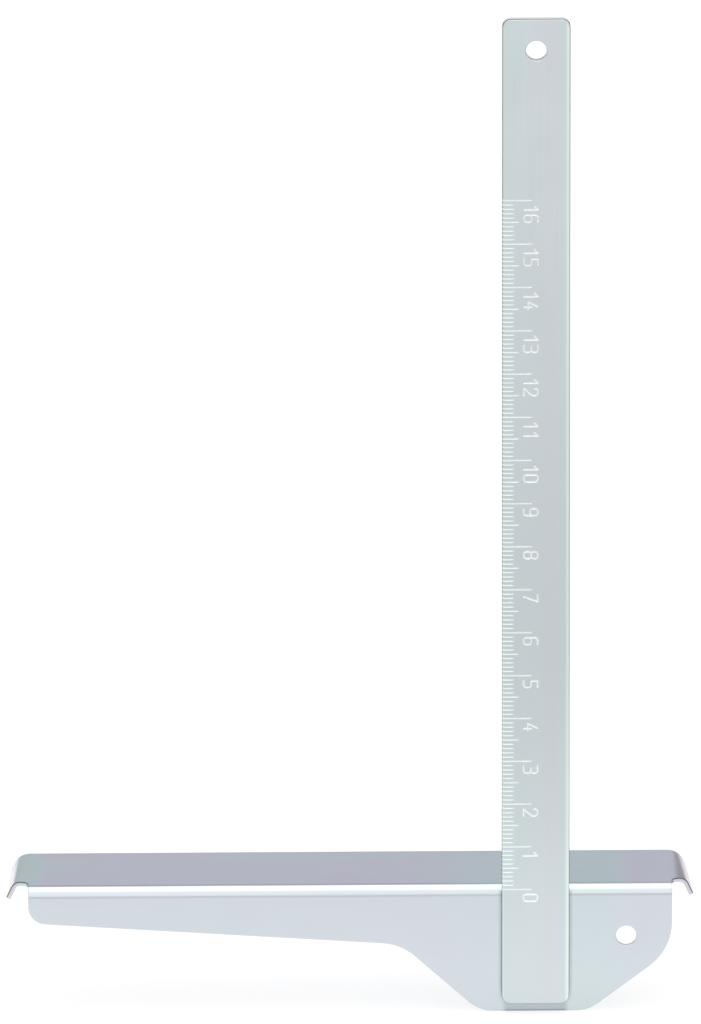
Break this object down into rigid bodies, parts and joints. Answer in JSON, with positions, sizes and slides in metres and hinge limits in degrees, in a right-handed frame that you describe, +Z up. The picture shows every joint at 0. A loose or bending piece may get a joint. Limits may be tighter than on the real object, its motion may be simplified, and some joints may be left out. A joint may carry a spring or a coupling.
{
  "type": "marking square",
  "caption": "Zinc-plated steel marking square: a millimetre-graduated blade welded at a right angle to a bent sheet stock whose flange is the fence.",
  "frame": {"origin": "the zero of the scale: the graduated edge of the blade, in the plane of the fence, where the blade lies on the web", "axes": "+Z up the blade, +X along the fence towards the heel with the hanging hole, +Y back over the fence, away from the graduated face"},
  "size_m": [0.1528, 0.0267, 0.2308],
  "materials": {
    "blade_steel": "zinc plated, clear bluish passivation, satin",
    "stock_steel": "zinc plated, clear bluish passivation with faint iridescence, satin",
    "weld_metal": "resistance weld nugget, unplated"
  },
  "bodies": {
    "root": {"blade": "blade_steel", "stock": "stock_steel", "spot_welds": "weld_metal"}
  },
  "joints": []
}
